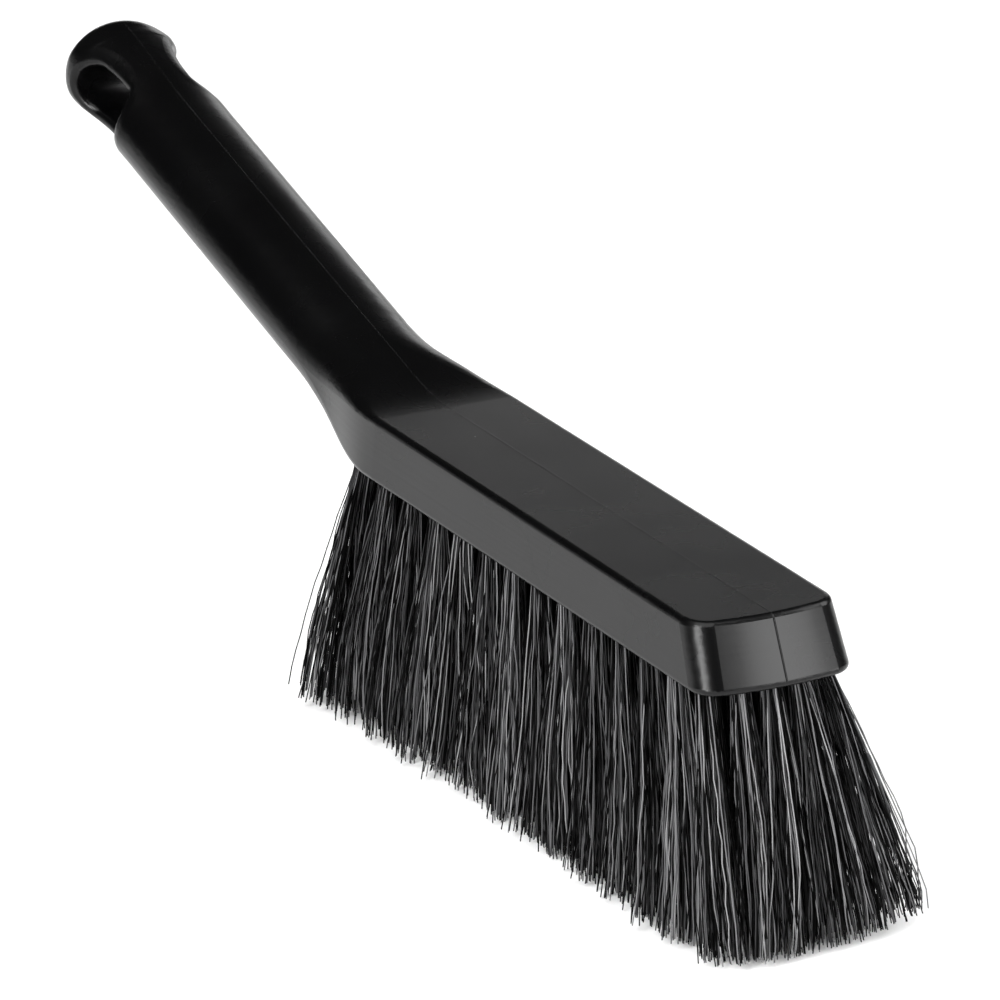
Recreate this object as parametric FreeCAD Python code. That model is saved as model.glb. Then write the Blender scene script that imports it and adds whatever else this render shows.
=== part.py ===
"""Hand brush for sweeping bees off a comb: one moulded body, stapled-in bristle tufts.

The brush stands on its bristle tips. +X runs along the brush towards the free front
end of the block, +Y is the left side seen from behind, and +Z is up. The origin is the
middle of the overall box, on the plane of the bristle tips. Lengths are in millimetres
and angles in degrees.
"""
import FreeCAD, Part
import math
import os

os.makedirs("parts", exist_ok=True)

V = FreeCAD.Vector

# ---------------------------------------------------------------- driving dimensions
BODY_LENGTH = 323.0          # block front to the end of the handle's centre line
BRISTLE_LENGTH = 58.0        # visible length, so also the height of the block's underside
FRONT_REACH = 8.0            # the front bristle tips lean out past the block's front
END_REACH = 1.0              # the tilted end reaches this much past its centre line

FRONT_X = (BODY_LENGTH + FRONT_REACH + END_REACH) / 2 - FRONT_REACH
END_X = FRONT_X - BODY_LENGTH
UNDERSIDE_Z = BRISTLE_LENGTH

# The block
BLOCK_HEIGHT = 14.2
BLOCK_HALF_WIDTH = 18.4      # at the underside
BLOCK_SIDE_DRAFT = 1.1       # each side stands in by this much at the top
FRONT_LEAN = 7.0             # the front's top edge stands back by this much
FRONT_CROWN = 2.2            # the front bulges forward in the middle
FRONT_CORNER_RADIUS = 6.0
TOP_EDGE_RADIUS = 1.5
BOTTOM_EDGE_RADIUS = 1.2
NOSE_LENGTH = 30.0           # the front stretch, which has the curved outline

# The handle, an oval bar that slopes up from the block
HANDLE_TILT = 15.3
HANDLE_HALF_WIDTH = 14.35
HANDLE_HALF_THICKNESS = 9.3
HANDLE_START_X = FRONT_X - 196.0
NEARLY_ROUND = 0.985         # share of the oval's sides that its rounding takes up
BULB_LENGTH = 40.0           # the handle swells towards its end over this length
BULB_WIDTH_SCALE = 1.07
BULB_THICKNESS_SCALE = 1.15
BULB_STEPS = 5
END_PLAN_ROUNDING = 11.5     # the end is rounded over this length, seen from above
END_EDGE_ROUNDING = 6.0      # and over this length, seen from the side
END_FLAT_SCALE = 0.20        # size of the end's last, flat section
END_STEPS = 8

# The neck, between the block and the handle
NECK_START_X = FRONT_X - 150.0
NECK_TOP_X = FRONT_X - 158.4              # where the two top lines would meet
NECK_REACH = 8.0                          # their rounding reaches this far each side
NECK_TOP_NARROW_X = FRONT_X - 188.0       # the top is as narrow as the handle here
NECK_TOP_ROUND_X = FRONT_X - 194.0        # and as round here
NECK_BOTTOM_START_X = FRONT_X - 154.0     # the underside starts to narrow here
NECK_BOTTOM_NARROW_X = FRONT_X - 184.0    # and is as narrow as the handle here
NECK_STEPS = 12

HANDLE_SLOPE = math.tan(math.radians(HANDLE_TILT))
HANDLE_DROP = 2 * HANDLE_HALF_THICKNESS / math.cos(math.radians(HANDLE_TILT))
NECK_BOTTOM_X = NECK_TOP_X - (HANDLE_DROP - BLOCK_HEIGHT) / HANDLE_SLOPE
HANDLE_START_HEIGHT = (NECK_BOTTOM_X - HANDLE_START_X) * HANDLE_SLOPE + HANDLE_DROP / 2

# The hanging slot, which runs sideways through the handle near its end
SLOT_FROM_END = 22.3         # from the handle's end to the middle of the slot
SLOT_LENGTH = 23.5
SLOT_HEIGHT = 11.5
SLOT_EDGE_RADIUS = 1.5
SCOOP_RADIUS = 20.0          # a round hollow in each flank, around the slot
SCOOP_DEPTH = 4.7
SCOOP_EDGE_RADIUS = 6.0
CUTTER_REACH = 40.0          # how far cutting shapes reach past the handle

# The tufts, set in lines that run along the block
LINE_NAMES = ["right_outer", "right_inner", "centre", "left_inner", "left_outer"]
TUFT_GROUPS = {"front": range(0, 5), "middle": range(5, 9), "rear": range(9, 14)}
TUFTS_PER_LINE = 14
LINE_SPACING = 6.7
FIRST_TUFT_SETBACK = 6.5     # the centre line's first tuft, behind the block's front
LAST_TUFT_SETBACK = 166.5
OUTER_LINE_INSET = 3.5       # the outer lines start and end this much further in
HOLE_RADIUS = 2.25
HOLE_DEPTH = 9.0
TUFT_CLEARANCE = 0.05
TIP_HALF_WIDTH = 4.0         # spread of one tuft at its tips, across the brush
TIP_HALF_LENGTH = 5.5        # and along it
LINE_SPREAD = 1.26           # spacing of the lines at the tips over that at the roots
CORNER_SPREAD = 0.85         # how much more they spread at the block's two ends
FRONT_LEAN_OUT = FRONT_REACH + FIRST_TUFT_SETBACK - TIP_HALF_LENGTH
REAR_LEAN_OUT = 8.0          # the rear tufts lean back by this much

# The staples, one across the bottom of each hole, through the fold of its tuft
STAPLE_LENGTH = 5.1          # wider than the hole, so that its ends bite
STAPLE_HEIGHT = 1.8
STAPLE_THICKNESS = 0.45
STAPLE_DEPTH = 6.0           # its lower edge, above the block's underside
STAPLE_CLEARANCE = 0.03


# ---------------------------------------------------------------- small helpers
def mix(first, second, share):
    return first + (second - first) * share


def smooth_share(start, end, x):
    """0 at start, 1 at end and beyond, with no kink at either."""
    share = min(max((x - start) / (end - start), 0.0), 1.0)
    return share * share * (3 - 2 * share)


def handle_axis():
    tilt = math.radians(HANDLE_TILT)
    return V(-math.cos(tilt), 0, math.sin(tilt))


def handle_up():
    tilt = math.radians(HANDLE_TILT)
    return V(math.sin(tilt), 0, math.cos(tilt))


def handle_length():
    return (HANDLE_START_X - END_X) / math.cos(math.radians(HANDLE_TILT))


def handle_point(distance):
    """A point on the handle's centre line, by its distance from the handle's start."""
    start = V(HANDLE_START_X, 0, UNDERSIDE_Z + HANDLE_START_HEIGHT)
    return start + handle_axis() * distance


# ---------------------------------------------------------------- sections of the body
def corner_curve(start, corner, end):
    """A rounded corner that is tangent to both of its sides."""
    side_in = (corner - start).normalize()
    side_out = (end - corner).normalize()
    curve = Part.BezierCurve()
    curve.setPoles([start, corner, end])
    curve.setWeight(2, math.cos(side_in.getAngle(side_out) / 2))
    return curve.toShape()


def section(centre, up, top_half, bottom_half, half_height, top_round, bottom_round):
    """A closed section with rounded corners. Each rounding is (across, down)."""
    side = V(0, 1, 0)
    rise = up * half_height
    corners = [
        centre + rise + side * top_half,
        centre + rise - side * top_half,
        centre - rise - side * bottom_half,
        centre - rise + side * bottom_half,
    ]
    rounds = [top_round, top_round, bottom_round, bottom_round]
    starts = []
    ends = []
    for index, corner in enumerate(corners):
        to_previous = (corners[index - 1] - corner).normalize()
        to_next = (corners[(index + 1) % 4] - corner).normalize()
        across, down = rounds[index]
        comes_along_flat = index % 2 == 1
        starts.append(corner + to_previous * (across if comes_along_flat else down))
        ends.append(corner + to_next * (down if comes_along_flat else across))
    edges = []
    for index, corner in enumerate(corners):
        edges.append(corner_curve(starts[index], corner, ends[index]))
        edges.append(Part.LineSegment(ends[index], starts[(index + 1) % 4]).toShape())
    return Part.Wire(edges)


def block_edge_reaches():
    """How far from the sharp corner the block's top and bottom roundings start."""
    draft = math.atan2(BLOCK_SIDE_DRAFT, BLOCK_HEIGHT)
    top = TOP_EDGE_RADIUS / math.tan((math.pi / 2 + draft) / 2)
    bottom = BOTTOM_EDGE_RADIUS / math.tan((math.pi / 2 - draft) / 2)
    return top, bottom


def block_section(x):
    top, bottom = block_edge_reaches()
    centre = V(x, 0, UNDERSIDE_Z + BLOCK_HEIGHT / 2)
    top_half = BLOCK_HALF_WIDTH - BLOCK_SIDE_DRAFT
    half_height = BLOCK_HEIGHT / 2
    return section(
        centre, V(0, 0, 1), top_half, BLOCK_HALF_WIDTH, half_height, (top, top), (bottom, bottom)
    )


def handle_section(distance, width_scale=1.0, thickness_scale=1.0):
    half_width = HANDLE_HALF_WIDTH * width_scale
    half_height = HANDLE_HALF_THICKNESS * thickness_scale
    rounding = (half_width * NEARLY_ROUND, half_height * NEARLY_ROUND)
    centre = handle_point(distance)
    return section(
        centre, handle_up(), half_width, half_width, half_height, rounding, rounding
    )


def blended_rise(x, corner_x):
    """Height of a level line that turns up into the handle's slope, with a soft corner."""
    behind = corner_x - x
    if behind <= -NECK_REACH:
        return 0.0
    if behind >= NECK_REACH:
        return HANDLE_SLOPE * behind
    return HANDLE_SLOPE * (behind + NECK_REACH) ** 2 / (4 * NECK_REACH)


def neck_section(x):
    """A section of the neck, between the block's outline and the handle's."""
    tilt = math.radians(HANDLE_TILT) * smooth_share(NECK_START_X, HANDLE_START_X, x)
    up = V(math.sin(tilt), 0, math.cos(tilt))
    top = BLOCK_HEIGHT + blended_rise(x, NECK_TOP_X)
    bottom = blended_rise(x, NECK_BOTTOM_X)
    half = (top - bottom) / 2 * math.cos(tilt)
    top_narrowing = smooth_share(NECK_START_X, NECK_TOP_NARROW_X, x)
    bottom_narrowing = smooth_share(NECK_BOTTOM_START_X, NECK_BOTTOM_NARROW_X, x)
    top_half = mix(BLOCK_HALF_WIDTH - BLOCK_SIDE_DRAFT, HANDLE_HALF_WIDTH, top_narrowing)
    bottom_half = mix(BLOCK_HALF_WIDTH, HANDLE_HALF_WIDTH, bottom_narrowing)
    top_share = smooth_share(NECK_START_X, NECK_TOP_ROUND_X, x)
    bottom_share = smooth_share(NECK_BOTTOM_START_X, HANDLE_START_X, x)
    top_reach, bottom_reach = block_edge_reaches()
    full_across = HANDLE_HALF_WIDTH * NEARLY_ROUND
    full_down = half * NEARLY_ROUND
    top_round = (mix(top_reach, full_across, top_share), mix(top_reach, full_down, top_share))
    bottom_round = (
        mix(bottom_reach, full_across, bottom_share),
        mix(bottom_reach, full_down, bottom_share),
    )
    centre = V(x, 0, UNDERSIDE_Z + (top + bottom) / 2)
    return section(centre, up, top_half, bottom_half, half, top_round, bottom_round)


# ---------------------------------------------------------------- stretches of the body
def nose_outline(height, setback, half_width):
    """The front stretch in plan: straight sides and a crowned front."""
    front = FRONT_X - setback
    back = FRONT_X - NOSE_LENGTH
    z = UNDERSIDE_Z + height
    corner_x = front - FRONT_CROWN
    right_corner = V(corner_x, -half_width, z)
    left_corner = V(corner_x, half_width, z)
    crown = Part.Arc(right_corner, V(front, 0, z), left_corner).toShape()
    points = [left_corner, V(back, half_width, z), V(back, -half_width, z), right_corner]
    sides = [Part.LineSegment(a, b).toShape() for a, b in zip(points, points[1:])]
    return Part.Wire([crown] + sides)


def front_uprights(solid):
    """The two edges that rise at the front corners."""
    middle_x = FRONT_X - NOSE_LENGTH / 2
    tall = [e for e in solid.Edges if e.BoundBox.ZLength > BLOCK_HEIGHT / 2]
    return [e for e in tall if e.BoundBox.XMin > middle_x]


def rim_edges(solid, z):
    """The edges of the flat at height z, except the one at the back."""
    tolerance = 0.01
    back = FRONT_X - NOSE_LENGTH
    found = []
    for edge in solid.Edges:
        box = edge.BoundBox
        level = abs(box.ZMin - z) < tolerance and abs(box.ZMax - z) < tolerance
        if level and box.XMax > back + tolerance:
            found.append(edge)
    return found


def nose():
    lower = nose_outline(0.0, 0.0, BLOCK_HALF_WIDTH)
    upper = nose_outline(BLOCK_HEIGHT, FRONT_LEAN, BLOCK_HALF_WIDTH - BLOCK_SIDE_DRAFT)
    solid = Part.makeLoft([lower, upper], True, True)
    solid = solid.makeFillet(FRONT_CORNER_RADIUS, front_uprights(solid))
    solid = solid.makeFillet(TOP_EDGE_RADIUS, rim_edges(solid, UNDERSIDE_Z + BLOCK_HEIGHT))
    return solid.makeFillet(BOTTOM_EDGE_RADIUS, rim_edges(solid, UNDERSIDE_Z))


def block_bar():
    nose_end = FRONT_X - NOSE_LENGTH
    length = NECK_START_X - nose_end
    return Part.Face(block_section(nose_end)).extrude(V(length, 0, 0))


def neck():
    wires = []
    for step in range(NECK_STEPS + 1):
        wires.append(neck_section(mix(NECK_START_X, HANDLE_START_X, step / NECK_STEPS)))
    return Part.makeLoft(wires, True, False)


def handle_bar():
    straight = handle_length() - BULB_LENGTH
    return Part.Face(handle_section(0.0)).extrude(handle_axis() * straight)


def handle_bulb():
    """The stretch where the handle swells, up to where its end starts to round."""
    wires = []
    for step in range(BULB_STEPS + 1):
        share = step / BULB_STEPS
        to_end = mix(BULB_LENGTH, END_PLAN_ROUNDING, share)
        swelling = smooth_share(0, 1, share)
        width_scale = mix(1, BULB_WIDTH_SCALE, swelling)
        thickness_scale = mix(1, BULB_THICKNESS_SCALE, swelling)
        wires.append(handle_section(handle_length() - to_end, width_scale, thickness_scale))
    return Part.makeLoft(wires, True, False)


def rounded_scale(to_end, rounding):
    """Share of the full size at a distance from the end, for an elliptical rounding."""
    share = max(1 - to_end / rounding, 0.0)
    return max(math.sqrt(1 - share * share), END_FLAT_SCALE)


def handle_end():
    """The rounded end: sections that shrink sideways first and in thickness later."""
    wires = []
    for step in range(END_STEPS + 1):
        to_end = END_PLAN_ROUNDING * (1 - math.sin(math.pi / 2 * step / END_STEPS))
        width_scale = BULB_WIDTH_SCALE * rounded_scale(to_end, END_PLAN_ROUNDING)
        thickness_scale = BULB_THICKNESS_SCALE * rounded_scale(to_end, END_EDGE_ROUNDING)
        wires.append(handle_section(handle_length() - to_end, width_scale, thickness_scale))
    return Part.makeLoft(wires, True, False)


# ---------------------------------------------------------------- cuts in the body
def hanging_slot():
    """A stadium along the handle, cut sideways through it."""
    centre = handle_point(handle_length() - SLOT_FROM_END)
    half_straight = handle_axis() * ((SLOT_LENGTH - SLOT_HEIGHT) / 2)
    rise = handle_up() * (SLOT_HEIGHT / 2)
    bulge = handle_axis() * (SLOT_HEIGHT / 2)
    back = centre + half_straight
    front = centre - half_straight
    edges = [
        Part.LineSegment(front + rise, back + rise).toShape(),
        Part.Arc(back + rise, back + bulge, back - rise).toShape(),
        Part.LineSegment(back - rise, front - rise).toShape(),
        Part.Arc(front - rise, front - bulge, front + rise).toShape(),
    ]
    face = Part.Face(Part.Wire(edges))
    face.translate(V(0, -CUTTER_REACH, 0))
    return face.extrude(V(0, 2 * CUTTER_REACH, 0))


def scoop(side):
    """The hollow in one flank: a round cutter that stands square to the handle."""
    offset = HANDLE_HALF_WIDTH - SCOOP_DEPTH + SCOOP_RADIUS
    centre = handle_point(handle_length() - SLOT_FROM_END) + V(0, side * offset, 0)
    start = centre - handle_up() * CUTTER_REACH
    return Part.makeCylinder(SCOOP_RADIUS, 2 * CUTTER_REACH, start, handle_up())


def scoop_edges(solid):
    """The edges between the two hollows and the handle's flanks."""
    found = []
    for face in solid.Faces:
        surface = face.Surface
        if isinstance(surface, Part.Cylinder) and math.isclose(surface.Radius, SCOOP_RADIUS):
            found += face.Edges
    return found


def slot_rims(solid, cutter):
    """The edges where the slot comes out of the handle's flanks."""
    tolerance = 0.01
    walls = [f for f in cutter.Faces if abs(f.normalAt(0, 0).y) < 0.5]
    found = []
    for edge in solid.Edges:
        middle = edge.valueAt((edge.FirstParameter + edge.LastParameter) / 2)
        on_wall = any(w.distToShape(Part.Vertex(middle))[0] < tolerance for w in walls)
        ends_apart = edge.BoundBox.YLength < HANDLE_HALF_WIDTH / 2
        if on_wall and ends_apart:
            found.append(edge)
    return found


def brush_body():
    stretches = [nose(), block_bar(), neck(), handle_bar(), handle_bulb(), handle_end()]
    body = stretches[0].fuse(stretches[1:]).removeSplitter()
    body = body.cut([scoop(-1), scoop(1)])
    body = body.makeFillet(SCOOP_EDGE_RADIUS, scoop_edges(body))
    slot = hanging_slot()
    body = body.cut(slot)
    body = body.makeFillet(SLOT_EDGE_RADIUS, slot_rims(body, slot))
    holes = [hole for line in all_lines() for hole in line["holes"]]
    staples = [staple for line in all_lines() for staple in line["staples"]]
    return body.cut(holes + staples)


# ---------------------------------------------------------------- tufts and staples
def tuft_root_and_tip(line, index):
    """Where a tuft leaves the block and where its tips end. line runs from -2 to 2."""
    bow = OUTER_LINE_INSET * (line / 2) ** 2
    first_x = FRONT_X - FIRST_TUFT_SETBACK - bow
    last_x = FRONT_X - LAST_TUFT_SETBACK + bow
    root = V(mix(first_x, last_x, index / (TUFTS_PER_LINE - 1)), line * LINE_SPACING, UNDERSIDE_Z)
    forward = 1 - 2 * index / (TUFTS_PER_LINE - 1)
    lean_out = FRONT_LEAN_OUT if forward > 0 else REAR_LEAN_OUT
    spread = LINE_SPREAD + CORNER_SPREAD * forward ** 4
    tip = V(root.x + lean_out * forward, root.y * spread, 0)
    return root, tip


def rise_along(root, tip, height):
    """The step along the tuft's line that climbs by height."""
    return (root - tip) * (height / BRISTLE_LENGTH)


def slanted_rod(root, tip, radius, low, high):
    """A round rod along the tuft's line, from low to high above the block's underside."""
    start = root + rise_along(root, tip, low)
    circle = Part.Wire(Part.makeCircle(radius, start))
    return Part.Face(circle).extrude(rise_along(root, tip, high - low))


def staple_box(root, tip, clearance):
    middle_height = STAPLE_DEPTH + STAPLE_HEIGHT / 2
    centre = root + rise_along(root, tip, middle_height)
    length = STAPLE_LENGTH + 2 * clearance
    width = STAPLE_THICKNESS + 2 * clearance
    height = STAPLE_HEIGHT + 2 * clearance
    corner = centre - V(length / 2, width / 2, height / 2)
    return Part.makeBox(length, width, height, corner)


def tuft(root, tip):
    """One bundle of filaments: its fold in the hole and its spreading free length."""
    radius = HOLE_RADIUS - TUFT_CLEARANCE
    fold = slanted_rod(root, tip, radius, 0, HOLE_DEPTH - TUFT_CLEARANCE)
    root_circle = Part.Wire(Part.makeCircle(radius, root))
    tip_oval = Part.Wire(Part.Ellipse(tip, TIP_HALF_LENGTH, TIP_HALF_WIDTH).toShape())
    free = Part.makeLoft([tip_oval, root_circle], True, True)
    return fold.fuse(free).cut(staple_box(root, tip, STAPLE_CLEARANCE))


def all_lines():
    lines = []
    for number, name in enumerate(LINE_NAMES):
        places = [tuft_root_and_tip(number - 2, index) for index in range(TUFTS_PER_LINE)]
        lines.append(
            {
                "name": name,
                "places": places,
                "holes": [slanted_rod(r, t, HOLE_RADIUS, -1, HOLE_DEPTH) for r, t in places],
                "staples": [staple_box(r, t, 0.0) for r, t in places],
            }
        )
    return lines


def export(name, solids):
    shape = solids[0] if len(solids) == 1 else Part.makeCompound(solids)
    shape.exportStep("parts/" + name + ".step")
    count = len(shape.Solids)
    print(name, count, "solids", shape.isValid(), round(shape.Volume, 1), "mm3")


export("brush_body", brush_body().Solids)
for tuft_line in all_lines():
    export(tuft_line["name"] + "_staples", tuft_line["staples"])
    for group, indexes in TUFT_GROUPS.items():
        tufts = [tuft(*tuft_line["places"][index]) for index in indexes]
        export(tuft_line["name"] + "_tufts_" + group, tufts)
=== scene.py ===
"""Looks of the hand brush: satin black moulded body, stapled tufts of fine black filaments.

Everything is in metres in the row frame: +X runs to the block's free front end, +Z is up,
and z = 0 is the plane of the bristle tips, which the brush stands on.
"""
import math

import bpy
import numpy as np
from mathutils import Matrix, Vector
from mathutils.bvhtree import BVHTree


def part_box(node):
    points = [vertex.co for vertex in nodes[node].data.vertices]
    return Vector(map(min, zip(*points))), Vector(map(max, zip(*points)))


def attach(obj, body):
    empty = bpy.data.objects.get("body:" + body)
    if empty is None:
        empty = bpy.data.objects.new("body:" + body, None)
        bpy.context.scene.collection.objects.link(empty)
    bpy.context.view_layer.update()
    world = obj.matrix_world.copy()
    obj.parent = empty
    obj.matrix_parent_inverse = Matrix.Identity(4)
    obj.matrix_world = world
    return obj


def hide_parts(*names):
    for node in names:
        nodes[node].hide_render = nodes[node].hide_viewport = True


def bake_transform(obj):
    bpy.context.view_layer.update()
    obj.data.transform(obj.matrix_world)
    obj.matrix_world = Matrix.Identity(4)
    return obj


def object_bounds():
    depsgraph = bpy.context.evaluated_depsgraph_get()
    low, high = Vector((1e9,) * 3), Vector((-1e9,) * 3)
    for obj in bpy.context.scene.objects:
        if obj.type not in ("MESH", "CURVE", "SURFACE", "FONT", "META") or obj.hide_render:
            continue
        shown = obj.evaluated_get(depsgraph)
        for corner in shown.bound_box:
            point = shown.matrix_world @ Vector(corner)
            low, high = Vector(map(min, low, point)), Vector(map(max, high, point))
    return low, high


MM = 0.001
SEED = 20

# The tufts' layout, as in the CAD source
LINES = ["right_outer", "right_inner", "centre", "left_inner", "left_outer"]
TUFT_GROUPS = {"front": range(0, 5), "middle": range(5, 9), "rear": range(9, 14)}
TUFTS_PER_LINE = 14
LINE_SPACING = 6.7 * MM
FRONT_X = 158.0 * MM
UNDERSIDE_Z = 58.0 * MM
FIRST_TUFT_SETBACK = 6.5 * MM
LAST_TUFT_SETBACK = 166.5 * MM
OUTER_LINE_INSET = 3.5 * MM
HOLE_RADIUS = 2.25 * MM
FRONT_LEAN_OUT = 9.0 * MM
REAR_LEAN_OUT = 8.0 * MM

# How the bristles spread: tips over roots, along each side and more at its two ends
RIGHT_SPREAD = {"along": 1.08, "front": -0.04, "rear": 0.32}
LEFT_SPREAD = {"along": 1.26, "front": 0.7, "rear": 0.32}
TIP_HALF_LENGTH = 6.6 * MM
TIP_HALF_WIDTH = 5.4 * MM
BOX_MARGIN = 0.4 * MM

# The filaments
FILAMENTS_PER_TUFT = 150
FILAMENT_RADIUS = 0.14 * MM
CLUMPS_PER_TUFT = 9
RINGS = 15
SIDES = 5
CLUMP_DRIFT = 0.9 * MM     # how far a clump's tips stray together
CUT_SHORT = 1.3 * MM       # spread of the filaments' lengths
BROKEN_SHARE = 0.03        # of the filaments are this much shorter again
BROKEN_LENGTH = 5 * MM
WILD_SHARE = 0.03          # of the filaments reach well outside their tuft
FAN_POWER = 1.25           # above 1, a tuft widens fastest near the block
TUFT_BOW = 0.9 * MM
FILAMENT_BOW = 0.7 * MM
WAVES = ((26 * MM, 0.24 * MM), (11 * MM, 0.09 * MM))    # length and size
EDGE_SCATTER = 2.5 * MM    # so that filaments held inside the box don't end in a line

# The shade on tufts inside the brush, which stands in for the shadow near the block
FULL_SHADE_SHARE = 0.15    # of the length, from the root, is black
NO_SHADE_SHARE = 0.6       # from here to the tips there is none

# The parting line, a fine raised ridge along the middle of the moulding
PARTING_Y = 0.6 * MM
PARTING_HALF_WIDTH = 0.2 * MM
PARTING_HEIGHT = 0.06 * MM
PARTING_FRONT_SCALE = 1.5
PARTING_STEP = 1.5 * MM
PARTING_LOW_Z = 59.3 * MM          # on the front face, from here
PARTING_HIGH_Z = 66 * MM           # to here
PARTING_TOP_X = FRONT_X - 12 * MM  # the straight run along the top starts here
PARTING_END_X = -24 * MM           # and the one along the underside ends here
END_TURN = 15 * MM                 # length of the handle's rounded end


# ---------------------------------------------------------------- node helpers
def new_material(name):
    material = bpy.data.materials.new(name)
    material.use_nodes = True
    tree = material.node_tree
    return material, tree, tree.nodes["Principled BSDF"]


def add(tree, kind, **values):
    """A node with the given attributes and, for names with a capital, input values."""
    node = tree.nodes.new(kind)
    for name, value in values.items():
        if name[0].isupper():
            node.inputs[name.replace("_", " ")].default_value = value
        else:
            setattr(node, name, value)
    return node


def stretched(tree, scale):
    """Object coordinates, in metres, with each axis multiplied by its scale."""
    coordinates = add(tree, "ShaderNodeTexCoord")
    mapping = add(tree, "ShaderNodeMapping", Scale=scale)
    tree.links.new(coordinates.outputs["Object"], mapping.inputs["Vector"])
    return mapping.outputs["Vector"]


def noise(tree, scale, detail=2.0, roughness=0.5):
    """Noise with about one bump per 1/scale of a metre along each axis."""
    node = add(tree, "ShaderNodeTexNoise", Scale=1.0, Detail=detail, Roughness=roughness)
    tree.links.new(stretched(tree, scale), node.inputs["Vector"])
    return node.outputs["Fac"]


def spread_over(tree, source, low, high):
    """Maps the middle range of a noise to low..high."""
    node = add(tree, "ShaderNodeMapRange", From_Min=0.3, From_Max=0.7, To_Min=low, To_Max=high)
    tree.links.new(source, node.inputs["Value"])
    return node.outputs["Result"]


def colour_between(tree, source, first, second):
    node = add(tree, "ShaderNodeMix", data_type="RGBA")
    node.inputs["A"].default_value = (*first, 1.0)
    node.inputs["B"].default_value = (*second, 1.0)
    tree.links.new(source, node.inputs["Factor"])
    return node.outputs["Result"]


def bumped(tree, height, distance, strength, before=None):
    node = add(tree, "ShaderNodeBump", Distance=distance, Strength=strength)
    tree.links.new(height, node.inputs["Height"])
    if before is not None:
        tree.links.new(before, node.inputs["Normal"])
    return node.outputs["Normal"]


def on_uprights(tree, source):
    """Fades a height out on faces that look up or down."""
    parts = add(tree, "ShaderNodeSeparateXYZ")
    tree.links.new(add(tree, "ShaderNodeNewGeometry").outputs["Normal"], parts.inputs["Vector"])
    steep = add(tree, "ShaderNodeMath", operation="ABSOLUTE")
    tree.links.new(parts.outputs["Z"], steep.inputs[0])
    fade = add(tree, "ShaderNodeMapRange", From_Min=0.6, From_Max=0.9, To_Min=1.0, To_Max=0.0)
    tree.links.new(steep.outputs["Value"], fade.inputs["Value"])
    product = add(tree, "ShaderNodeMath", operation="MULTIPLY")
    tree.links.new(source, product.inputs[0])
    tree.links.new(fade.outputs["Result"], product.inputs[1])
    return product.outputs["Value"]


# ---------------------------------------------------------------- materials
def body_material():
    """Satin black moulded plastic with a fine mould grain and faint flow marks."""
    material, tree, shader = new_material("satin_black_plastic")
    clouds = noise(tree, (45, 45, 45), detail=3)
    streaks = on_uprights(tree, noise(tree, (10, 28, 1100), detail=3, roughness=0.6))
    grain = noise(tree, (1600, 1600, 1600), detail=1)
    colour = colour_between(tree, clouds, (0.0005, 0.0005, 0.0006), (0.0011, 0.0011, 0.0012))
    tree.links.new(colour, shader.inputs["Base Color"])
    tree.links.new(spread_over(tree, clouds, 0.24, 0.29), shader.inputs["Roughness"])
    shader.inputs["Specular IOR Level"].default_value = 0.23
    normal = bumped(tree, grain, 0.02 * MM, 0.25)
    normal = bumped(tree, streaks, 0.06 * MM, 0.6, normal)
    tree.links.new(normal, shader.inputs["Normal"])
    return material


def filament_material():
    """Black nylon filament.

    The greys stand in for light, not dye: each filament has its own in place of fine
    highlights, and root_shade blackens the inner tufts in place of the shadow there.
    """
    material, tree, shader = new_material("black_filament")
    island = add(tree, "ShaderNodeNewGeometry").outputs["Random Per Island"]
    shades = add(tree, "ShaderNodeValToRGB")
    ramp = shades.color_ramp
    ramp.elements[0].color = (0.001, 0.001, 0.001, 1)
    ramp.elements[1].color = (0.22, 0.22, 0.223, 1)
    for place, grey in ((0.36, 0.002), (0.58, 0.03), (0.85, 0.11)):
        ramp.elements.new(place).color = (grey, grey, grey * 1.03, 1)
    tree.links.new(island, shades.inputs["Fac"])
    lit = add(tree, "ShaderNodeAttribute", attribute_name="root_shade").outputs["Fac"]
    shaded = colour_between(tree, lit, (0.001, 0.001, 0.001), (1, 1, 1))
    tree.links.new(shades.outputs["Color"], shaded.node.inputs["B"])
    tree.links.new(shaded, shader.inputs["Base Color"])
    gloss = add(tree, "ShaderNodeMapRange", To_Min=0.42, To_Max=0.3)
    tree.links.new(island, gloss.inputs["Value"])
    tree.links.new(gloss.outputs["Result"], shader.inputs["Roughness"])
    shader.inputs["Specular IOR Level"].default_value = 0.02
    ripple = noise(tree, (900, 900, 260), detail=2)
    tree.links.new(bumped(tree, ripple, 0.02 * MM, 0.4), shader.inputs["Normal"])
    return material


def staple_material():
    """Drawn steel wire, with fine lines along its length."""
    material, tree, shader = new_material("drawn_steel")
    lines = noise(tree, (300, 6000, 6000), detail=3)
    colour = colour_between(tree, lines, (0.42, 0.42, 0.41), (0.62, 0.61, 0.59))
    tree.links.new(colour, shader.inputs["Base Color"])
    tree.links.new(spread_over(tree, lines, 0.28, 0.42), shader.inputs["Roughness"])
    tree.links.new(bumped(tree, lines, 0.01 * MM, 0.5), shader.inputs["Normal"])
    shader.inputs["Metallic"].default_value = 1.0
    return material


def floor_material():
    material, tree, shader = new_material("pale_floor")
    colour = colour_between(tree, noise(tree, (3, 3, 3)), (0.92, 0.92, 0.92), (0.94, 0.94, 0.94))
    tree.links.new(colour, shader.inputs["Base Color"])
    shader.inputs["Roughness"].default_value = 0.9
    shader.inputs["Specular IOR Level"].default_value = 0.0
    return material


def use_material(piece, material):
    piece.data.materials.clear()
    piece.data.materials.append(material)


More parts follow.
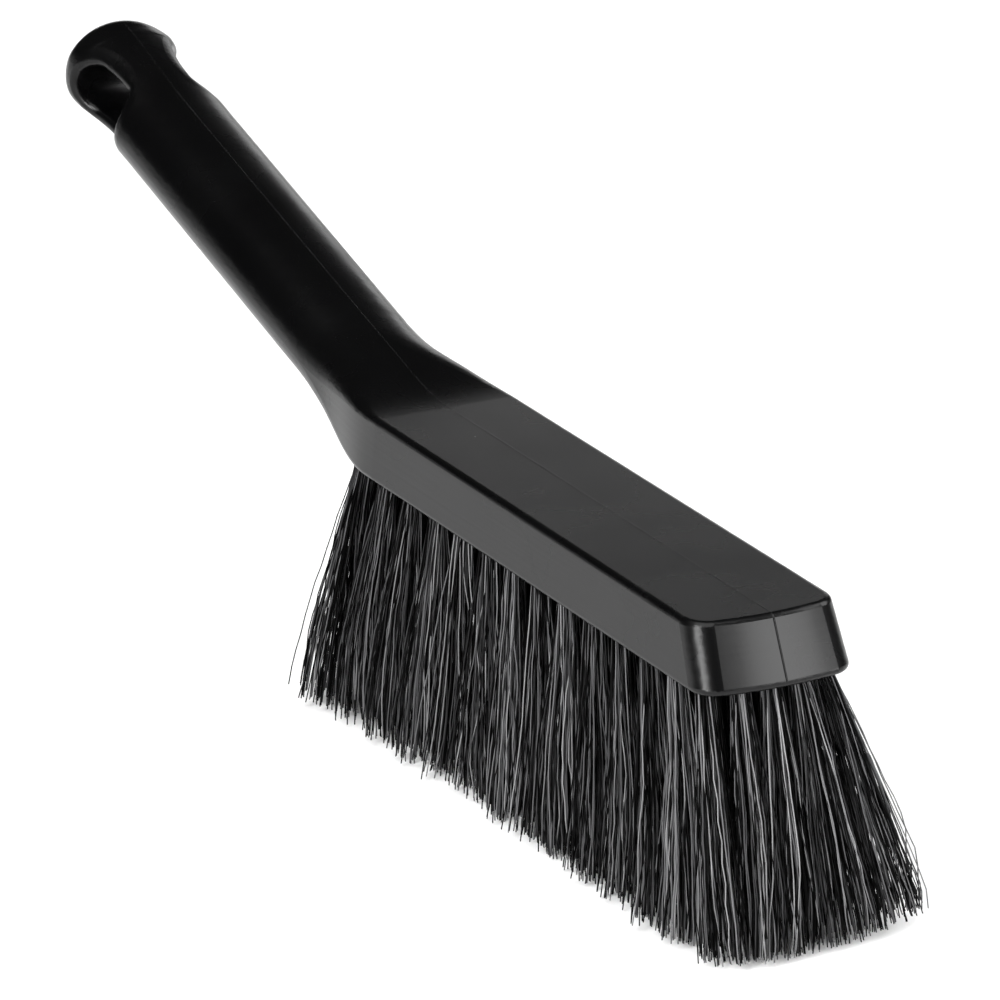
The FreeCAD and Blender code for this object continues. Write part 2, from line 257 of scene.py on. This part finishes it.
# ---------------------------------------------------------------- meshes
def mesh_object(name, vertices, faces, material):
    mesh = bpy.data.meshes.new(name)
    mesh.from_pydata(vertices, [], faces)
    mesh.polygons.foreach_set("use_smooth", [True] * len(mesh.polygons))
    mesh.materials.append(material)
    piece = bpy.data.objects.new(name, mesh)
    bpy.context.scene.collection.objects.link(piece)
    return piece


def tuft_root_and_tip(line, index):
    """Where a tuft leaves the block, where its tips end and their half sizes. line: -2 to 2."""
    bow = OUTER_LINE_INSET * (line / 2) ** 2
    first_x = FRONT_X - FIRST_TUFT_SETBACK - bow
    last_x = FRONT_X - LAST_TUFT_SETBACK + bow
    share = index / (TUFTS_PER_LINE - 1)
    root = np.array([first_x + (last_x - first_x) * share, line * LINE_SPACING, UNDERSIDE_Z])
    forward = 1 - 2 * share
    lean_out = FRONT_LEAN_OUT if forward > 0 else REAR_LEAN_OUT
    side = RIGHT_SPREAD if line < 0 else LEFT_SPREAD
    spread = side["along"] + side["front" if forward > 0 else "rear"] * forward ** 4
    tip = np.array([root[0] + lean_out * forward, root[1] * spread, 0.0])
    tip_size = np.array([TIP_HALF_LENGTH, TIP_HALF_WIDTH * (0.45 + 0.5 * spread)])
    return root, tip, tip_size


def flat(offsets):
    """Offsets in x and y, with a zero z added."""
    return np.pad(offsets, ((0, 0), (0, 1)))


def random_disc(rng, count):
    """Points spread evenly over a disc of radius 1."""
    angle = rng.uniform(0, 2 * np.pi, count)
    reach = np.sqrt(rng.uniform(0, 1, count))
    return np.stack([np.cos(angle), np.sin(angle)], 1) * reach[:, None]


def tip_offsets(disc, rng):
    """Where each filament of a tuft ends, over the tuft's tip, on a disc of radius about 1."""
    count = len(disc)
    wild = rng.uniform(0, 1, count) < WILD_SHARE
    offsets = disc * 0.92 + rng.normal(0, 0.26, (count, 2))
    offsets += wild[:, None] * rng.normal(0, 0.8, (count, 2))
    reach = np.linalg.norm(offsets, axis=1)
    limit = np.where(wild, 1.6, 1.15)
    return offsets * np.minimum(1, limit / np.maximum(reach, 0.01))[:, None]


def waviness(below, rng):
    """Sideways waves along each filament, which fade out towards its root."""
    total = np.zeros((FILAMENTS_PER_TUFT, len(below), 2))
    for wave_length, size in WAVES:
        turns = UNDERSIDE_Z / (wave_length * rng.uniform(0.75, 1.3, (FILAMENTS_PER_TUFT, 1, 1)))
        phase = rng.uniform(0, 2 * np.pi, (FILAMENTS_PER_TUFT, 1, 2))
        wave = np.sin(2 * np.pi * turns * below[None, :, None] + phase)
        total += rng.normal(0, size, (FILAMENTS_PER_TUFT, 1, 2)) * wave
    return total * np.minimum(below * 3, 1)[None, :, None]


def filament_paths(root, tip, tip_size, rng):
    """Centre lines of one tuft's filaments, as an array of filaments x rings x 3."""
    count = FILAMENTS_PER_TUFT
    disc = random_disc(rng, count)
    middles = random_disc(rng, CLUMPS_PER_TUFT) * 0.85
    distance = np.linalg.norm(disc[:, None, :] - middles[None, :, :], axis=2)
    clump = np.argmin(distance, axis=1)
    drift = rng.normal(0, CLUMP_DRIFT, (CLUMPS_PER_TUFT, 2))[clump]
    start = root + flat(disc * (HOLE_RADIUS - FILAMENT_RADIUS))
    end = tip + flat(tip_offsets(disc, rng) * tip_size + drift)
    cut_short = np.abs(rng.normal(0, CUT_SHORT, count))
    cut_short += BROKEN_LENGTH * (rng.uniform(0, 1, count) > 1 - BROKEN_SHARE)

    share = np.linspace(-0.05, 1, RINGS)
    below = np.clip(share, 0, 1)
    sideways = np.linalg.norm((end - start)[:, :2], axis=1)
    drop = np.sqrt(UNDERSIDE_Z ** 2 - sideways ** 2) - cut_short
    fan = 1 - (1 - below) ** FAN_POWER
    path = start[:, None, :] + (end - start)[:, None, :] * fan[None, :, None]
    path[:, :, 2] = UNDERSIDE_Z - drop[:, None] * share[None, :]

    hump = np.sin(np.pi * below)[None, :, None]
    pull = (middles[clump] - disc) * 0.2 * tip_size
    bow = rng.normal(0, TUFT_BOW, 2) + rng.normal(0, FILAMENT_BOW, (count, 2))
    path[:, :, :2] += pull[:, None, :] * hump
    path[:, :, :2] += bow[:, None, :] * hump * below[None, :, None]
    path[:, :, :2] += waviness(below, rng)
    margin = BOX_MARGIN + rng.uniform(0, EDGE_SCATTER, (count, 1, 1))
    low, high = (np.array(corner[:2]) for corner in cad_box)
    path[:, :, :2] = np.clip(path[:, :, :2], low + margin, high - margin)
    return path


def tubes(paths):
    """Vertices and faces of thin tubes along the paths, closed at their tips."""
    count, rings, _ = paths.shape
    around = 2 * np.pi * (np.arange(SIDES) + 0.5) / SIDES
    ring = np.stack([np.cos(around), np.sin(around), np.zeros(SIDES)], 1) * FILAMENT_RADIUS
    vertices = (paths[:, :, None, :] + ring[None, None, :, :]).reshape(-1, 3)
    side = np.arange(SIDES)
    following = (side + 1) % SIDES
    first = (np.arange(count)[:, None] * rings + np.arange(rings - 1)[None, :]) * SIDES
    first = first.reshape(-1, 1)
    quads = np.stack(
        [first + side, first + SIDES + side, first + SIDES + following, first + following], 2
    ).reshape(-1, 4)
    last = (np.arange(count) * rings + rings - 1) * SIDES
    caps = last[:, None] + side[::-1][None, :]
    return vertices.tolist(), quads.tolist() + caps.tolist()


def root_shade(line, index, path):
    """0 where a tuft inside the brush is black, near the block, and 1 where it isn't shaded."""
    if abs(line) == 2 or index in (0, TUFTS_PER_LINE - 1):
        return np.ones(path.shape[:2])
    below = (UNDERSIDE_Z - path[:, :, 2]) / UNDERSIDE_Z
    return np.clip((below - FULL_SHADE_SHARE) / (NO_SHADE_SHARE - FULL_SHADE_SHARE), 0, 1)


def filament_piece(line, group, material):
    """All filaments of one CAD tuft node, as one piece."""
    rng = np.random.default_rng([SEED, LINES.index(line), list(TUFT_GROUPS).index(group)])
    number = LINES.index(line) - 2
    paths = []
    shades = []
    for index in TUFT_GROUPS[group]:
        root, tip, tip_size = tuft_root_and_tip(number, index)
        paths.append(filament_paths(root, tip, tip_size, rng))
        shades.append(root_shade(number, index, paths[-1]))
    vertices, faces = tubes(np.concatenate(paths))
    piece = mesh_object(f"{line}_filaments_{group}", vertices, faces, material)
    attribute = piece.data.attributes.new("root_shade", "FLOAT", "POINT")
    attribute.data.foreach_set("value", np.repeat(np.concatenate(shades).ravel(), SIDES))
    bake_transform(piece)
    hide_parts(f"{line}_tufts_{group}")
    return piece


def surface_line(tree):
    """Points along the body's outer skin in the parting plane, front edge to block underside."""
    end_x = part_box("brush_body")[0].x
    rays = []
    for z in np.linspace(PARTING_LOW_Z, PARTING_HIGH_Z, 12):
        rays.append(((1, PARTING_Y, z), (-1, 0, 0)))
    corner = Vector((FRONT_X - 11 * MM, PARTING_Y, UNDERSIDE_Z + 9 * MM))
    for angle in np.radians(np.linspace(0, 90, 30)):
        outward = Vector((math.cos(angle), 0, math.sin(angle)))
        rays.append((corner + outward, -outward))
    for x in np.arange(PARTING_TOP_X, end_x + END_TURN, -PARTING_STEP):
        rays.append(((x, PARTING_Y, 1), (0, 0, -1)))
    top, bottom = (
        tree.ray_cast(Vector((end_x + END_TURN, PARTING_Y, z)), Vector((0, 0, d)))[0]
        for z, d in ((1, -1), (0, 1))
    )
    middle = (top + bottom) / 2
    for angle in np.linspace(math.pi / 2, 3 * math.pi / 2, 40):
        outward = Vector((math.cos(angle), 0, math.sin(angle)))
        rays.append((middle + outward, -outward))
    for x in np.arange(end_x + END_TURN + 1 * MM, PARTING_END_X, PARTING_STEP):
        rays.append(((x, PARTING_Y, 0), (0, 0, 1)))
    hits = [tree.ray_cast(Vector(start), Vector(direction))[0] for start, direction in rays]
    points = [hits[0]]
    for hit in hits[1:]:
        if hit is not None and (hit - points[-1]).length > 0.2 * MM:
            points.append(hit)
    return points


def parting_line(body, material):
    """The moulding's fine parting ridge: a low rounded ribbon along the body's skin."""
    tree = BVHTree.FromPolygons(
        [v.co for v in body.data.vertices], [p.vertices for p in body.data.polygons]
    )
    points = surface_line(tree)
    profile = [(-1.0, -0.3), (-0.2, 1.0), (0.2, 1.0), (1.0, -0.3)]
    vertices = []
    for index, point in enumerate(points):
        before = points[max(index - 1, 0)]
        after = points[min(index + 1, len(points) - 1)]
        along = (after - before).normalized()
        outward = Vector((0, 1, 0)).cross(along).normalized()
        scale = PARTING_FRONT_SCALE if outward.x > 0.7 else 1.0
        for across, rise in profile:
            sideways = Vector((0, across * PARTING_HALF_WIDTH * scale, 0))
            corner = point + sideways + outward * rise * PARTING_HEIGHT * scale
            vertices.append(np.clip(corner, cad_box[0], cad_box[1]))
    width = len(profile)
    faces = []
    for index in range(len(points) - 1):
        for step in range(width - 1):
            low = index * width + step
            faces.append((low, low + 1, low + width + 1, low + width))
    piece = mesh_object("parting_line", vertices, faces, material)
    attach(piece, "brush")
    return piece


# ---------------------------------------------------------------- stage
def make_floor():
    size = 6.0
    corners = [(-size, -size, 0), (size, -size, 0), (size, size, 0), (-size, size, 0)]
    floor = mesh_object("floor", corners, [(0, 1, 2, 3)], floor_material())


def aim(thing, target):
    direction = Vector(target) - thing.location
    thing.rotation_euler = direction.to_track_quat("-Z", "Y").to_euler()


def softbox(name, place, target, size, power):
    data = bpy.data.lights.new(name, "AREA")
    data.shape = "RECTANGLE"
    data.size, data.size_y = size
    data.energy = power
    lamp = bpy.data.objects.new(name, data)
    bpy.context.scene.collection.objects.link(lamp)
    lamp.location = place
    aim(lamp, target)


def make_lights():
    softbox("overhead", (0.5, -0.5, 2.2), (0.05, 0, 0), (2.2, 2.2), 46)
    softbox("floor_wash", (0.4, 2.2, 1.9), (-0.15, 0.1, 0), (1.6, 1.6), 39)
    softbox("front_right", (1.47, 0.85, 0.62), (0.1, 0, 0.06), (0.8, 1.2), 29)
    softbox("left_front", (0.74, -1.24, 0.32), (0.08, 0, 0.04), (0.62, 0.5), 21)
    softbox("left_high", (0.6, -1.1, 1.0), (0.08, 0, 0.03), (0.45, 0.45), 15)
    softbox("back", (-2.2, 1.3, 0.46), (0, 0, 0.08), (1.6, 0.66), 5.0)
    softbox("left_back", (-1.5, -1.35, 0.25), (0, 0, 0.05), (1.4, 0.5), 1.2)
    world = bpy.data.worlds.new("studio")
    world.use_nodes = True
    background = world.node_tree.nodes["Background"]
    background.inputs["Color"].default_value = (1, 1, 1, 1)
    background.inputs["Strength"].default_value = 0.035
    bpy.context.scene.world = world


def make_camera():
    data = bpy.data.cameras.new("camera")
    data.sensor_width = 36
    data.lens = 288
    camera = bpy.data.objects.new("camera", data)
    bpy.context.scene.collection.objects.link(camera)
    camera.location = (1.4704, -0.7574, 0.6499)
    aim(camera, (0.0755, -0.0223, 0.0763))
    bpy.context.scene.camera = camera


# ---------------------------------------------------------------- the brush
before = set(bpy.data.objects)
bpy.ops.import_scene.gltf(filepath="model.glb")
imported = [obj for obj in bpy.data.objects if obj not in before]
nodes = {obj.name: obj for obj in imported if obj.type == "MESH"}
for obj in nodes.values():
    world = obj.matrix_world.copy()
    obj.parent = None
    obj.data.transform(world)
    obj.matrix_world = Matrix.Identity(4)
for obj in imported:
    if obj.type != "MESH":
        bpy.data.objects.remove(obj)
cad_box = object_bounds()

plastic = body_material()
filament = filament_material()
steel = staple_material()

use_material(nodes["brush_body"], plastic)
parting_line(nodes["brush_body"], plastic)
for line_name in LINES:
    use_material(nodes[f"{line_name}_staples"], steel)
    for group_name in TUFT_GROUPS:
        filament_piece(line_name, group_name, filament)

make_floor()
make_lights()
make_camera()
bpy.context.scene.view_settings.view_transform = "Standard"
